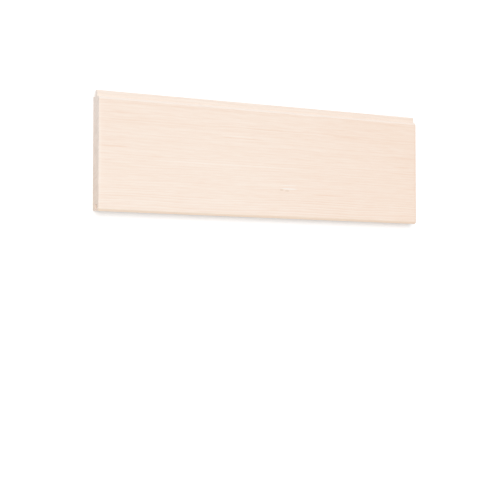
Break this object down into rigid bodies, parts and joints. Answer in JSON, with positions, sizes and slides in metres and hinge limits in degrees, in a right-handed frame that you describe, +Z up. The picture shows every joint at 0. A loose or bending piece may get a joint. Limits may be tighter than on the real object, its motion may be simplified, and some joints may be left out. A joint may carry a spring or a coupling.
{
  "type": "tongue and groove board",
  "caption": "Planed softwood lining board with a tongue on one long edge, a matching groove on the other and bevelled face edges that form a V joint when laid.",
  "frame": {"origin": "middle of the back face, which is the centre of the overall length and width", "axes": "+X along the grain, +Y across the width towards the tongue, +Z up out of the show face"},
  "size_m": [0.47, 0.145, 0.016],
  "materials": {
    "planed_softwood": "matte"
  },
  "bodies": {
    "root": {"board": "planed_softwood"}
  },
  "joints": []
}
